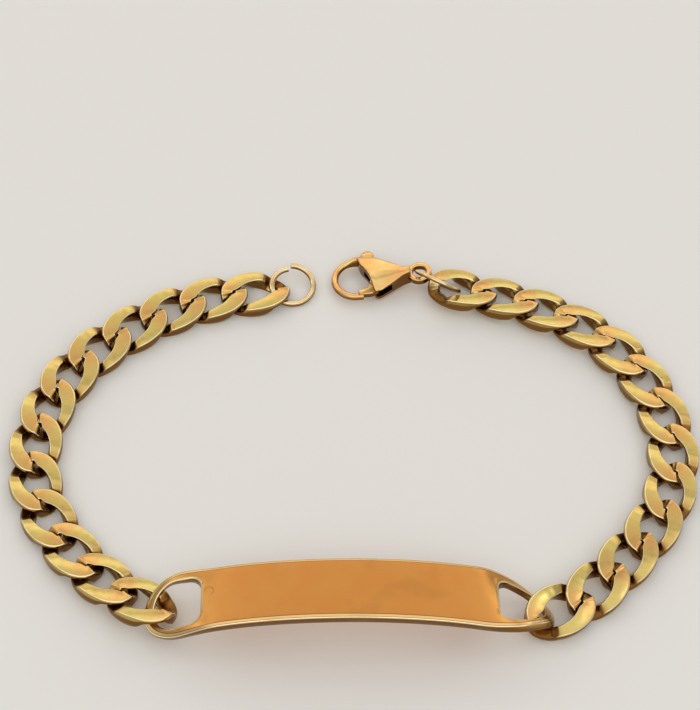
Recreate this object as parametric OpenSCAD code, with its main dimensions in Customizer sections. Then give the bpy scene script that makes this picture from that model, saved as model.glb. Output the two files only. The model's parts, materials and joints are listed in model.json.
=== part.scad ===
/* [Plate] */
// Length of the name plate from tip to tip, seen from above
plate_l = 46.7; // [46.3:0.1:47.1]
// Width of the name plate
plate_w = 7.8; // [7.6:0.1:8]
// Thickness of the name plate
plate_t = 1.25; // [1:0.05:1.3]
// Radius of the plate's arch, to its upper face
plate_arch_r = 65.5; // [62:0.5:68]
// Length of each rounded end of the plate
plate_end_l = 4.7; // [4.5:0.1:4.9]
// Width of the metal that is left round each slot
slot_rim_w = 1.15; // [1.1:0.05:1.2]
// Length of the rounded end of each slot
slot_end_l = 2.6; // [2.5:0.1:2.8]
// Distance from the plate's middle to the straight side of a slot
slot_start = 16.8; // [16.5:0.1:17]
// Turn of the left slotted end about the plate's length
left_twist = 20; // [19:1:22]
// Turn of the right slotted end the other way, so that its link lies flat
right_twist = 36; // [34:1:38]
// Height of the middle of the plate's upper face above the surface it lies on
plate_top_z = 8.05; // [8:0.05:8.15]

/* [Links] */
// Distance from one link's middle to the next where the chain lies loose
link_pitch = 5.4; // [5.36:0.02:5.44]
// Outer length of a link
link_l = 8.9; // [8.8:0.05:9]
// Outer width of a link
link_w = 6.4; // [6.3:0.05:6.5]
// Thickness of a link
link_t = 1.8; // [1.7:0.05:1.85]

/* [Rings] */
// Outer width of the jump ring that the clasp hooks into
jump_ring_d = 5.8; // [5.6:0.1:6]
// Wire of the jump ring
jump_wire_d = 0.74; // [0.7:0.02:0.78]
// Outer width of the ring between the chain and the clasp
connector_d = 6.4; // [6.3:0.1:6.5]
// Wire of the ring between the chain and the clasp
connector_wire_d = 0.58; // [0.54:0.02:0.6]

/* [Clasp] */
// Thickness of the clasp's body
clasp_t = 2.4; // [2.3:0.05:2.5]
// Middle radius of the clasp's hook
hook_r = 2.85; // [2.8:0.05:2.9]
// Wire of the clasp's hook
hook_wire_d = 0.9; // [0.85:0.05:0.95]
// Height of the hook where it leaves the body
hook_root_h = 1.9; // [1.8:0.05:2]
// Thickness of the clasp's lever
lever_t = 0.8; // [0.7:0.05:0.85]
// Thickness of the lever's thumb piece
thumb_t = 1.6; // [1.5:0.05:1.7]
// Width of the slot that the lever turns in
lever_slot_t = 1; // [0.95:0.05:1.05]
// Radius of the pin that the lever turns on
pin_r = 0.4; // [0.35:0.05:0.45]

/* [Hidden] */
// Number of links on each side of the plate
links_a_side = 13;
gold = "goldenrod";
lever_gold = "gold";
smooth = 64;

// Middle of the whole bracelet, seen from the middle of the plate: the frame
// starts there, at the surface that the bracelet lies on
frame_middle = [1.244, 24.163];

// Sections of a link, each at an angle round it from the end that points
// away from the plate: the height of its upper face as a share of half the
// thickness, and the width of that face. They hold for both halves of the
// link, and its underside is the same table read backwards.
angle = 0;
top = 1;
face_w = 2;
link_sections = [
    [0, 1, 1.55],
    [10, 0.5, 1.4],
    [22, -0.22, 1.25],
    [40, -0.27, 1.15],
    [58, -0.13, 1.15],
    [74, 0.67, 1.3],
    [90, 0.89, 1.55],
    [106, 0.98, 1.75],
    [122, 1, 1.95],
    [140, 1, 2.05],
    [158, 1, 1.8],
    [170, 1, 1.55]
];
half_ring = len(link_sections);
whole_ring = 2 * half_ring;
section_corners = 6;
link_bevel = 0.16;
link_bulge = 0.06;

// Lie of each chain, link by link outward from the plate: its heading seen
// from above, its bank (positive lifts the left of its travel) and its slope
// (positive lifts the end that points away from the plate), in degrees, how
// far its lowest point is lifted off the surface, and how much further than
// the loose pitch it stands from the link before it.
heading = 1;
bank = 2;
slope = 3;
lift = 4;
pull = 5;
left_lay = [
    [1, 146, 11.5, -7, 0.6, 0.15],
    [2, 138, 10, -3, 0, 0.15],
    [4, 117.5, 0, 0, 0, 0.2],
    [6, 84.5, 5, 0, 0, 0.1],
    [9, 42.5, 7, 0, 0, 0.05],
    [11, 25, 6, 0, 0, 0],
    [13, 5, 0, 0, 0, 0]
];
right_lay = [
    [1, 24, 16.5, -5.5, 0, 0.1],
    [2, 42, 12, 0, 0, 0.1],
    [4, 54, 7, 0, 0, 0.2],
    [6, 87, 3, 0, 0, 0.15],
    [7, 101, 3, 0, 0, 0.15],
    [9, 127, 5.5, 0, 0, 0.15],
    [10, 144, 8, 0, 0, 0.12],
    [12, 162, 9, 0, 0, 0.05],
    [13, 167, 9, 5, 0, 0.05]
];
left_start = [-23.78, 1.16];
right_start = [23.79, -0.72];

// Rounding of the slots and steps of the rounded outlines
slot_corner_r = 1.25;
arc_step = 10;

// Places of the two rings, from the plate's middle
jump_ring_place = [-5.9, 48.5, 0.9];
jump_ring_tilt = [11, 4, 0];
jump_ring_joint = 96;
jump_ring_joint_gap = 8;
jump_ring_spread = 0.22;
connector_place = [12.63, 47.44];
connector_heading = -33;
connector_tilt = -54.6;

// Clasp: its own frame starts in the middle of the hook, with X to the tail
clasp_place = [2.45, 49.25];
clasp_heading = 1;
clasp_lift = 6;
clasp_corner_r = 0.73;
far_corner = [2.35, 1.85];
near_corner = [2.75, -1.98];
neck_x = 6.5;
neck_half_w = 0.5;
hook_root_outer = [0.1, 2.8];
hook_root_inner = [0.45, 1.6];
inner_edge_foot = [1.95, -2.2];
hook_root_angle = 80;
hook_band_angle = 150;
hook_band_w = 0.8;
hook_band_x = [0.5, -2.4];
hook_tip_angle = 270;
hook_tip_l = 0.7;
hook_seat = [
    [0.05, -2.95],
    [-0.6, -2.15],
    [1.5, -2.15],
    [1.5, -2.95]
];
tail_x = 8;
tail_r = 1.55;
tail_hole_r = 0.9;
tail_t = 0.9;
slot_x = [0.95, 4.4];
slot_cut_w = 10;
pin_place = [2.57, -0.86];
pin_clearance = 0.1;
lever_hub_r = 0.95;
thumb_place = [1.5, 3.2];
thumb_r = 0.88;
thumb_foot_y = 2.84;
lever_arm_w = 0.9;

// Plain helpers
module in_frame() {
    translate([-frame_middle[0], -frame_middle[1], 0])
    children();
}
function link_name(side, i) = str("link_", side, i < 10 ? "_0" : "_", i);
function ellipse_arc(centre, size, from, to) =
    [for (a = [from : arc_step : to]) centre + [size[0] * cos(a), size[1] * sin(a)]];
function falling_arc(centre, size, from, to) =
    [for (a = [from : -arc_step : to]) centre + [size[0] * cos(a), size[1] * sin(a)]];

// Corners of the link's section number i, in the link's own frame
function section_row(i) = link_sections[i % half_ring];
function mirror_row(i) = link_sections[(half_ring - i % half_ring) % half_ring];
function link_section(i) =
    let (
        t = section_row(i)[angle] + (i < half_ring ? 0 : 180),
        top_z = section_row(i)[top] * link_t / 2,
        bottom_z = -mirror_row(i)[top] * link_t / 2,
        top_w = section_row(i)[face_w],
        bottom_w = mirror_row(i)[face_w],
        rim = [cos(t) * link_l / 2, sin(t) * link_w / 2],
        outward = [cos(t) / link_l, sin(t) / link_w],
        inward = -outward / norm(outward),
        middle_z = (top_z + bottom_z) / 2
    )
    [
        for (corner = [
            [link_bevel, top_z],
            [0, middle_z],
            [link_bevel, bottom_z],
            [bottom_w, bottom_z],
            [(top_w + bottom_w) / 2 + link_bulge, middle_z],
            [top_w, top_z]
        ])
        [each rim + inward * corner[0], corner[1]]
    ];
link_points = [for (i = [0 : whole_ring - 1]) each link_section(i)];
link_faces = [
    for (i = [0 : whole_ring - 1], k = [0 : section_corners - 1])
    let (
        near = i * section_corners,
        far = (i + 1) % whole_ring * section_corners,
        next = (k + 1) % section_corners
    )
    each [
        [near + k, far + next, near + next],
        [near + k, far + k, far + next]
    ]
];

// Where link number i of a chain lies
function lay_table(side) = side == "left" ? left_lay : right_lay;
function lay(side, i, column) = lookup(i, [for (row = lay_table(side)) [row[0], row[column]]]);
function step_length(side, i) = link_pitch + lay(side, i, pull);
function step_heading(side, i) = (lay(side, i - 1, heading) + lay(side, i, heading)) / 2;
function link_place(side, i) =
    i == 1
        ? (side == "left" ? left_start : right_start)
        : link_place(side, i - 1)
            + step_length(side, i) * [cos(step_heading(side, i)), sin(step_heading(side, i))];

// A point of the link, banked and sloped, and the height at which the link
// just touches the surface that it lies on
function leaned(p, b, s) =
    let (
        y = p[1] * cos(b) - p[2] * sin(b),
        z = p[1] * sin(b) + p[2] * cos(b)
    )
    [p[0] * cos(s) - z * sin(s), y, p[0] * sin(s) + z * cos(s)];
function link_height(b, s) = -min([for (p = link_points) leaned(p, b, s)[2]]);

module link(side, i) {
    tilt = lay(side, i, bank);
    rise = lay(side, i, slope);
    color(gold)
    in_frame()
    translate([each link_place(side, i), link_height(tilt, rise) + lay(side, i, lift)])
    rotate([tilt, -rise, lay(side, i, heading)])
    polyhedron(points = link_points, faces = link_faces);
}

// The plate is drawn flat and then bent: it arches from end to end, droops a
// little more near its tips, thins a little round the slots, and each slotted
// end turns about its length
plate_place = [-0.1, -0.85];
plate_heading = -1;
plate_lean = 0.4;
end_droop = 0.8;
droop_reach = 20;
droop_power = 6;
twist_start = 14.5;
twist_end = 23.5;
slot_thinning = 0.22;
function eased(k) = k * k * (3 - 2 * k);
function share(x) = max(0, min(1, (abs(x) - twist_start) / (twist_end - twist_start)));
function end_turn(x) = (x < 0 ? left_twist : -right_twist) * eased(share(x));
function arch_drop(x) =
    plate_arch_r - sqrt(pow(plate_arch_r, 2) - pow(x, 2)) + end_droop * pow(x / droop_reach, droop_power);
function bent(p, full_depth) =
    let (
        turn = end_turn(p[0]),
        depth = full_depth * (1 - slot_thinning * eased(share(p[0])))
    )
    [
        p[0],
        p[1] * cos(turn) + depth * sin(turn),
        p[1] * sin(turn) - depth * cos(turn) - arch_drop(p[0])
    ];

// One slotted end, drawn flat: matching points on the outer edge and on the
// slot's edge, from the far side round the tip to the near side
far_edge_y = plate_w / 2;
slot_edge_y = far_edge_y - slot_rim_w;
end_x = plate_l / 2 - plate_end_l;
slot_end_x = plate_l / 2 - slot_rim_w - slot_end_l;
slot_corner_x = slot_start + slot_corner_r;
slot_corner_y = slot_edge_y - slot_corner_r;
slot_corner = [slot_corner_r, slot_corner_r];
far_corner_edge = falling_arc([slot_corner_x, slot_corner_y], slot_corner, 180, 90);
near_corner_edge = falling_arc([slot_corner_x, -slot_corner_y], slot_corner, 270, 180);
end_outer = [
    for (p = far_corner_edge) [p[0], far_edge_y],
    each falling_arc([end_x, 0], [plate_end_l, far_edge_y], 90, -90),
    for (p = near_corner_edge) [p[0], -far_edge_y]
];
end_inner = [
    each far_corner_edge,
    each falling_arc([slot_end_x, 0], [slot_end_l, slot_edge_y], 90, -90),
    each near_corner_edge
];

// Points of one face of the plate: both ends, then the crosswise rows of the
// stretch between the slots, which has four points in a row
end_n = len(end_outer);
row_n = 24;
row_y = [far_edge_y, slot_corner_y, -slot_corner_y, -far_edge_y];
function face_points(depth) = [
    for (p = end_outer) bent(p, depth),
    for (p = end_inner) bent(p, depth),
    for (p = end_outer) bent([-p[0], p[1]], depth),
    for (p = end_inner) bent([-p[0], p[1]], depth),
    for (j = [1 : row_n - 1], y = row_y) bent([slot_start * (2 * j / row_n - 1), y], depth)
];
face_n = 4 * end_n + 4 * (row_n - 1);
function right_outer(i) = i;
function right_inner(i) = end_n + i;
function left_outer(i) = 2 * end_n + i;
function left_inner(i) = 3 * end_n + i;
function end_row(outer_first, inner_first) =
    [outer_first, inner_first, inner_first + end_n - 1, outer_first + end_n - 1];
function row_point(j, c) =
    j == 0 ? end_row(left_outer(0), left_inner(0))[c]
    : j == row_n ? end_row(right_outer(0), right_inner(0))[c]
    : 4 * end_n + 4 * (j - 1) + c;

// Faces: the upper face, the same turned over for the underside, and walls
function quad(a, b, c, d) = [[a, b, c], [a, c, d]];
upper_faces = [
    for (i = [0 : end_n - 2])
    each quad(right_outer(i), right_outer(i + 1), right_inner(i + 1), right_inner(i)),
    for (i = [0 : end_n - 2])
    each quad(left_inner(i), left_inner(i + 1), left_outer(i + 1), left_outer(i)),
    for (j = [0 : row_n - 1], c = [0 : 2])
    each quad(row_point(j, c), row_point(j + 1, c), row_point(j + 1, c + 1), row_point(j, c + 1))
];
function wall(loop) = [
    for (i = [0 : len(loop) - 1])
    let (
        a = loop[i],
        b = loop[(i + 1) % len(loop)]
    )
    each quad(a, a + face_n, b + face_n, b)
];
outer_loop = [
    for (j = [1 : row_n - 1]) row_point(j, 0),
    for (i = [0 : end_n - 1]) right_outer(i),
    for (j = [row_n - 1 : -1 : 1]) row_point(j, 3),
    for (i = [end_n - 1 : -1 : 0]) left_outer(i)
];
right_slot_loop = [for (i = [end_n - 1 : -1 : 0]) right_inner(i)];
left_slot_loop = [for (i = [0 : end_n - 1]) left_inner(i)];
plate_points = concat(face_points(0), face_points(plate_t));
plate_faces = concat(
    upper_faces,
    [for (f = upper_faces) [f[2] + face_n, f[1] + face_n, f[0] + face_n]],
    wall(outer_loop),
    wall(right_slot_loop),
    wall(left_slot_loop)
);

module id_plate() {
    color(gold)
    in_frame()
    translate([each plate_place, plate_top_z])
    rotate([0, plate_lean, plate_heading])
    polyhedron(points = plate_points, faces = plate_faces);
}

// Round wire bent to part of a circle
module wire_arc(radius, wire_d, from, sweep) {
    rotate_extrude(angle = sweep, start = from, $fn = smooth)
    translate([radius, 0])
    circle(d = wire_d, $fn = smooth);
}

// Jump ring with an open joint: its right half bends out a little, so that
// one end stands outside the other
jump_ring_r = (jump_ring_d - jump_wire_d) / 2;
module jump_ring() {
    half_gap = jump_ring_joint_gap / 2;
    color(gold)
    in_frame()
    translate(jump_ring_place)
    rotate(jump_ring_tilt) {
        wire_arc(jump_ring_r, jump_wire_d, jump_ring_joint + half_gap, 270 - jump_ring_joint - half_gap);
        translate([0, jump_ring_spread, 0])
        wire_arc(
            jump_ring_r + jump_ring_spread,
            jump_wire_d,
            -90,
            90 + jump_ring_joint - half_gap
        );
    }
}

// Closed ring, leaning as it stands on the surface
connector_r = (connector_d - connector_wire_d) / 2;
module connector_ring() {
    color(gold)
    in_frame()
    translate([each connector_place, connector_wire_d / 2 + connector_r * abs(sin(connector_tilt))])
    rotate([connector_tilt, 0, connector_heading])
    wire_arc(connector_r, connector_wire_d, 0, 360);
}

// The clasp lies on the edge of its body that is next to the hook, with the
// tail lifted by the ring in it
clasp_height = clasp_t / 2 * cos(clasp_lift) - hook_root_outer[0] * sin(clasp_lift);
module in_clasp_place() {
    in_frame()
    translate([each clasp_place, clasp_height])
    rotate([0, -clasp_lift, clasp_heading])
    children();
}
module slab(thickness) {
    linear_extrude(height = thickness, center = true)
    children();
}

// The hook is round wire. It starts as a taller band at the body, and its
// straight tip has a seat that the gate's end rests in
module hook() {
    difference() {
        union() {
            wire_arc(hook_r, hook_wire_d, hook_root_angle, hook_tip_angle - hook_root_angle);
            translate([0, -hook_r, 0])
            rotate([0, 90, 0])
            cylinder(h = hook_tip_l, d = hook_wire_d, $fn = smooth);
            intersection() {
                hook_band();
                rotate([90, 0, 0])
                linear_extrude(height = 4 * hook_r, center = true)
                polygon([
                    [hook_band_x[0], hook_root_h / 2],
                    [hook_band_x[0], -hook_root_h / 2],
                    [hook_band_x[1], -hook_wire_d / 4],
                    [hook_band_x[1], hook_wire_d / 4]
                ]);
            }
        }
        linear_extrude(height = 2 * hook_wire_d, center = true)
        polygon(hook_seat);
    }
}
module hook_band() {
    straight_h = hook_root_h - hook_band_w;
    rotate_extrude(angle = hook_band_angle - hook_root_angle, start = hook_root_angle, $fn = smooth)
    translate([hook_r, 0]) {
        square([hook_band_w, straight_h], center = true);
        translate([0, straight_h / 2])
        circle(d = hook_band_w, $fn = smooth);
        translate([0, -straight_h / 2])
        circle(d = hook_band_w, $fn = smooth);
    }
}

corner_size = [clasp_corner_r, clasp_corner_r];
clasp_outline = [
    [neck_x, -neck_half_w],
    [neck_x, neck_half_w],
    each ellipse_arc(far_corner, corner_size, 60, 90),
    hook_root_outer,
    hook_root_inner,
    inner_edge_foot,
    each ellipse_arc(near_corner, corner_size, 200, 300)
];
module clasp_body() {
    slot_l = slot_x[1] - slot_x[0];
    neck_l = tail_x - neck_x;
    color(gold)
    in_clasp_place() {
        difference() {
            union() {
                slab(clasp_t)
                polygon(clasp_outline);
                translate([neck_x + neck_l / 2 - tail_r / 2, 0])
                cube([neck_l, 2 * neck_half_w, tail_t], center = true);
                translate([tail_x, 0])
                cylinder(h = tail_t, r = tail_r, center = true, $fn = smooth);
                hook();
            }
            translate([slot_x[0] + slot_l / 2, 0])
            cube([slot_l, slot_cut_w, lever_slot_t], center = true);
            translate([tail_x, 0])
            cylinder(h = 2 * tail_t, r = tail_hole_r, center = true, $fn = smooth);
        }
        translate([each pin_place, 0])
        cylinder(h = clasp_t / 2 + lever_slot_t / 2, r = pin_r, center = true, $fn = smooth);
    }
}

// The lever: a gate that closes the hook, a hub on the pin and a thicker
// thumb piece that stands out past the body's far edge
gate_outline = [
    [3.2, -1.6],
    [1.9, -0.6],
    [1.35, -1.75],
    [0.05, -2.2],
    [0.2, -2.85],
    [1.75, -2.85],
    [2.6, -2.55]
];
module clasp_lever() {
    arm = thumb_place - pin_place;
    color(lever_gold)
    in_clasp_place() {
        slab(lever_t)
        difference() {
            union() {
                polygon(gate_outline);
                translate(pin_place)
                circle(r = lever_hub_r, $fn = smooth);
                translate(pin_place)
                rotate(atan2(arm[1], arm[0]))
                translate([0, -lever_arm_w / 2])
                square([norm(arm), lever_arm_w]);
            }
            translate(pin_place)
            circle(r = pin_r + pin_clearance, $fn = smooth);
        }
        slab(thumb_t)
        difference() {
            translate(thumb_place)
            circle(r = thumb_r, $fn = smooth);
            translate([thumb_place[0] - 2 * thumb_r, thumb_foot_y - 2 * thumb_r])
            square([4 * thumb_r, 2 * thumb_r]);
        }
    }
}

id_plate();
for (side = ["left", "right"], i = [1 : links_a_side])
    link(side, i);
jump_ring();
connector_ring();
clasp_body();
clasp_lever();
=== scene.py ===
import json
import math

import bmesh
import bpy
import numpy as np
from mathutils import Matrix, Vector


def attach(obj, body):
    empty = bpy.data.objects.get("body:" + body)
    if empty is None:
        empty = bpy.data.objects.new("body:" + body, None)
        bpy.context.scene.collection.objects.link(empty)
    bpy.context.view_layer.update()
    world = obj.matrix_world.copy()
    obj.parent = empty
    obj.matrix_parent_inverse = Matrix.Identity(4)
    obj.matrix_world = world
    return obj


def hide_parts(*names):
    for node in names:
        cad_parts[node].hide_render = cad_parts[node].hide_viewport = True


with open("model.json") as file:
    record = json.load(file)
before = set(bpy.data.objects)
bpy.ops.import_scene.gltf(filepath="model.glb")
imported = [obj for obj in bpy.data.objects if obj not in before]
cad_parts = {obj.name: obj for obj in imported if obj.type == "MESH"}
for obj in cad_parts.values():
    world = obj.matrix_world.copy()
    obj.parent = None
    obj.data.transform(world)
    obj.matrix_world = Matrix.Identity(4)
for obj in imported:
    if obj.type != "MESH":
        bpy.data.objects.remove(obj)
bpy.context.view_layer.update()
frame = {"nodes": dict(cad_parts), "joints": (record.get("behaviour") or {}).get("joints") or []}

MM = 0.001

# The links of both halves of the chain, each a node of the frame
CHAIN_LINKS = sorted(name for name in frame["nodes"] if name.startswith("link_"))

# Middle of the bracelet's box in plan, in the drawing that the sizes below
# come from, in millimetres: the frame has its origin there
FRAME_MIDDLE = (1.244, 24.163)

# Link sizes, in millimetres, and the number of sections round a link
LINK_LENGTH = 8.9
LINK_WIDTH = 6.4
LINK_THICKNESS = 1.8
LINK_SIDE_BEVEL = 0.16
LINK_INNER_BULGE = 0.1
LINK_EDGE_ROUND = 0.13
LINK_WALL_ROUND = 0.02
LINK_WALL_SHARES = (0.3, 0.7)
LINK_STATIONS = 160
ROUND_STEPS = 3

# Corners of a link's section, counted from the outer end of its upper face:
# those of its two flat faces, then the inner one of each face
FLAT_CORNERS = (0, 3, 4, 7)
INNER_TOP_CORNER = 7
INNER_UNDER_CORNER = 4

# Marks on the surface, which the gold follows: hollows, which get painted shade,
# rounded edges with a painted highlight (above 0) or a painted dark reflection line
# beside one (below 0), and the stretches between the redder tips, which get a
# painted yellower reflection colour
SHADED_HOLLOW = "shaded_hollow"
PAINTED_EDGE_LIGHT = "edge"
REFLECTION_YELLOW = "yellow"

# Where a link has those marks: hollow, with painted shade, where its face is lower than a share of
# half the thickness; a facet with a painted highlight and a painted yellow stretch by angles from its
# tip
HOLLOW_HEIGHT = 0.75
HOLLOW_FADE = 2
TIP_FACET = (5, 19)
REFLECTION_YELLOW_MIDDLE = 100
REFLECTION_YELLOW_REACH = 62

# Colours that the marks and the side walls bring: painted shade on side walls and in hollows,
# a painted highlight on edges, a painted dark reflection line beside an edge, and wear on the plate
PAINTED_SHADE_GOLD = (0.22, 0.1, 0.025)
PAINTED_HIGHLIGHT_GOLD = (0.99, 0.86, 0.5)
PAINTED_DARK_LINE_GOLD = (0.4, 0.17, 0.05)
WORN_GOLD = (0.45, 0.19, 0.05)

# Sections of a link, for angles round it from one tip: the height of its
# upper face as a share of half the thickness, and the width of that face.
# Both halves of the link follow them, and the underside has them backwards.
LINK_SECTIONS = [
    (0, 1.0, 1.55),
    (10, 0.5, 1.4),
    (22, -0.22, 1.25),
    (40, -0.27, 1.15),
    (58, -0.13, 1.15),
    (74, 0.67, 1.3),
    (90, 0.89, 1.55),
    (106, 0.98, 1.75),
    (122, 1.0, 1.95),
    (140, 1.0, 2.05),
    (158, 1.0, 1.8),
    (170, 1.0, 1.55),
]
SECTION_ANGLE = 0
SECTION_TOP = 1
SECTION_WIDTH = 2

# Share of the smooth curve's swing between its rows that the heights take; the
# widths take all of it
HEIGHT_SWING = 0.5

# Name plate sizes, in millimetres, the way it is bent and twisted, in degrees,
# and into how many parts its surface is divided
PLATE_LENGTH = 46.7
PLATE_WIDTH = 7.8
PLATE_THICKNESS = 1.25
PLATE_ARCH_RADIUS = 65.5
PLATE_END_LENGTH = 4.7
PLATE_TOP_HEIGHT = 8.05
SLOT_RIM = 1.15
SLOT_END_LENGTH = 2.6
SLOT_START = 16.8
SLOT_CORNER = 1.25
SLOT_THINNING = 0.22
LEFT_TWIST = 20
RIGHT_TWIST = -36
TWIST_START = 14.5
TWIST_END = 23.5
END_DROOP = 0.8
DROOP_REACH = 20
DROOP_POWER = 6
PLATE_PLACE = (-0.1, -0.85)
PLATE_HEADING = -1
PLATE_LEAN = 0.4
# Where the plate's painted yellower reflection colour starts, from its middle
REFLECTION_YELLOW_START = 12
PLATE_STATIONS = 72
PLATE_SPANS = 8
RIM_SPANS = 3
SLOT_CORNER_STEPS = 8
STRAIGHT_POINTS = 4
ROUND_END_STEPS = 36

# Rows round the plate's outer edge, from the underside to the upper face, and
# round a slot, from the upper face to the underside: distance from the edge,
# depth under the upper face (0 and less counts up from the underside), edge mark:
# a painted highlight above 0, a painted dark reflection line below 0
OUTER_ROWS = [
    (0.1, 0.0, 0.0),
    (0.03, -0.03, 0.0),
    (0.0, -0.1, 0.0),
    (0.0, 0.3, 0.0),
    (0.01, 0.235, 1.0),
    (0.05, 0.185, 1.0),
    (0.11, 0.15, 1.0),
    (0.15, 0.133, -1.0),
    (0.19, 0.115, 0.5),
    (0.39, 0.027, 0.5),
    (0.43, 0.01, -1.0),
    (0.47, 0.002, -1.0),
    (0.52, 0.0001, 0.0),
]
SLOT_ROWS = [
    (0.25, 0.0001, 0.0),
    (0.17, 0.012, 0.5),
    (0.08, 0.05, 1.0),
    (0.02, 0.12, 1.0),
    (0.0, 0.22, 0.0),
    (0.0, -0.1, 0.0),
    (0.1, 0.0, 0.0),
]

# A faint curved scratch on the plate next to its left slot, in millimetres
SCRATCH_MIDDLE = (-17.25, -23.98, 0)
SCRATCH_RADIUS = 0.52
SCRATCH_WIDTH = 0.14
SCRATCH_OPENS = (-0.5, -0.87, 0)
SCRATCH_CUT = 0.15
SCRATCH_DEPTH = 0.6
SMUDGE_DEPTH = 0.2
SMUDGE_SCALE = 0.22
SMUDGE_RANGE = (0.56, 0.7)

# How finely round wire is made: corners of its section, degrees between sections
WIRE_CORNERS = 20
WIRE_STEP = 4

# Rings, in millimetres
JUMP_RING_WIDTH = 5.8
JUMP_WIRE = 0.74
JUMP_PLACE = (-5.9, 48.5, 0.9)
JUMP_TILT = (11, 4)
JUMP_JOINT = 96
JUMP_JOINT_GAP = 8
JUMP_SPREAD = 0.22
CONNECTOR_WIDTH = 6.4
CONNECTOR_WIRE = 0.58

# Clasp's body, in millimetres, in its own frame: X to the tail, Y to the far side
CLASP_HEADING = 1
CLASP_THICKNESS = 2.4
CLASP_CORNERS = [
    (6.9, 0.5),
    (5.9, 0.55),
    (2.5, 2.66),
    (0.1, 2.85),
    (0.42, 1.7),
    (1.5, 0.0),
    (2.3, -3.1),
    (6.0, -0.75),
    (6.9, -0.5),
]
CLASP_CORNER_RADII = [0.02, 0.4, 0.6, 0.15, 0.25, 0.9, 0.9, 0.6, 0.02]
CLASP_CORNER_STEPS = 8
CLASP_SPINE = [(2.3, -0.3), (6.2, 0.0)]
CREASE_START = (2.3, -0.8)
CREASE_END = (6.4, -0.3)
CREASE_SLOPE = 0.35

# The body's rows from its middle up: how far each has moved in to the spine,
# and how high it lies, both as shares
CLASP_ROWS = [
    (0, 0.3),
    (0, 0.72),
    (0.02, 0.84),
    (0.06, 0.93),
    (0.12, 0.98),
    (0.2, 1.0),
    (0.55, 1.0),
    (0.85, 1.0),
]

# The lever's slot through the body, and its pin
SLOT_ALONG = (0.95, 4.4)
SLOT_CUT = 10
LEVER_SLOT = 1
SLOT_DEPTH_SHARE = 0.52
PIN_PLACE = (2.57, -0.86)
PIN_RADIUS = 0.4
PIN_CLEARANCE = 0.1
PIN_REACH = 0.6

# The hook, and the flat ring at the tail
HOOK_RADIUS = 2.85
HOOK_WIRE = 0.9
HOOK_START = 80
HOOK_END = 270
HOOK_TIP = 0.7
HOOK_TIP_SHARES = (0.3, 0.6, 0.9, 1.0)
HOOK_ROOT_HEIGHT = 1.9
HOOK_BAND_X = (0.5, -2.4)
HOOK_SEAT = [(0.05, -2.95), (-0.6, -2.15), (1.5, -2.15), (1.5, -2.95)]
TAIL_X = 8
TAIL_RADIUS = 1.55
TAIL_HOLE = 0.9
TAIL_THICKNESS = 0.9
TAIL_EDGE_ROUND = 0.2

# The lever: its arm and hub, the gate that closes the hook, the thumb piece
LEVER_THICKNESS = 0.8
LEVER_HUB = 0.95
LEVER_ARM = 0.9
LEVER_COVERED_X = 1.9
THUMB_PLACE = (1.5, 3.2)
THUMB_RADIUS = 0.88
THUMB_FOOT = 2.84
THUMB_THICKNESS = 1.6
GATE_CORNERS = [
    (3.2, -1.6),
    (1.9, -0.6),
    (1.35, -1.75),
    (0.05, -2.2),
    (0.2, -2.85),
    (1.75, -2.85),
    (2.6, -2.55),
]
GATE_RADII = [0.2, 0.2, 0.2, 0.1, 0.12, 0.3, 0.2]
LEVER_CIRCLE_STEPS = 35
PIN_STEPS = 23

# Rounded edges: the lever's rows as distance moved in and depth under its face,
# the thumb piece's as distance moved in and share of half its thickness
LEVER_EDGE = [(0.1, 0), (0.03, 0.04), (0, 0.1)]
THUMB_EDGE = [(0.32, 1), (0.14, 0.9), (0.04, 0.72), (0, 0.5)]

# Edges sharper than these angles, in degrees, are shaded as edges
BODY_EDGE_ANGLE = 40
SMALL_EDGE_ANGLE = 50

# Noise on the gold: its scale per millimetre, with the range that is used of it,
# and the depth of waves and grain in millimetres
DRIFT_SCALE = 0.35
DRIFT_RANGE = (0.35, 0.65)
HAZE_SCALE = 1.6
HAZE_RANGE = (0.3, 0.7)
WAVE_SCALE = 0.8
WAVE_DEPTH = 0.1
GRAIN_DEPTH = 0.01

# Upward part of a normal, under the first of these on a side wall, which gets
# painted shade, and over the second on a flat face
SHADED_SIDE_SLOPES = (0.25, 0.6)

# Floor: its side in metres, and its matt finish
FLOOR_SIZE = 3
FLOOR_COLOUR = (0.88, 0.875, 0.865, 1)
FLOOR_ROUGHNESS = 0.9
FLOOR_SHINE = 0.15

# Studio: the even light all round, then each soft light's place and size in
# metres, brightness and colour
WORLD_COLOUR = (1.0, 0.98, 0.95, 1)
WORLD_BRIGHTNESS = 0.42
SOFT_LIGHTS = [
    ("far_softbox", (0.0, 0.55, 0.65), (1.5, 0.55), 0.38, (1.0, 0.9, 0.77)),
    ("top_softbox", (0.0, -0.16, 0.8), (1.8, 0.88), 0.5, (1.0, 0.98, 0.92)),
    ("front_softbox", (0.0, -0.55, 0.55), (1.2, 0.3), 0.8, (1.0, 0.97, 0.9)),
    ("far_strip", (0.0, 0.62, 0.58), (1.6, 0.2), 0.55, (1.0, 0.93, 0.78)),
    ("far_low_softbox", (0.0, 0.9, 0.28), (2.0, 0.35), 0.55, (1.0, 0.95, 0.85)),
    ("left_key", (-0.62, 0.25, 0.5), (0.16, 0.3), 1.2, (1.0, 0.98, 0.95)),
    ("right_key", (0.5, 0.1, 0.75), (0.15, 0.15), 1.2, (1.0, 0.98, 0.95)),
]

# Camera at the photo's viewing angle: places in millimetres, near limit in metres
CAMERA_PLACE = (-8.96, -156.76, 220.9)
CAMERA_TARGET = (-0.124, 12.277, 2.0)
CAMERA_LENS = 114.9
CAMERA_ROLL = 1.4
CAMERA_SENSOR = 36
CAMERA_NEAR = 0.01


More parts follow.
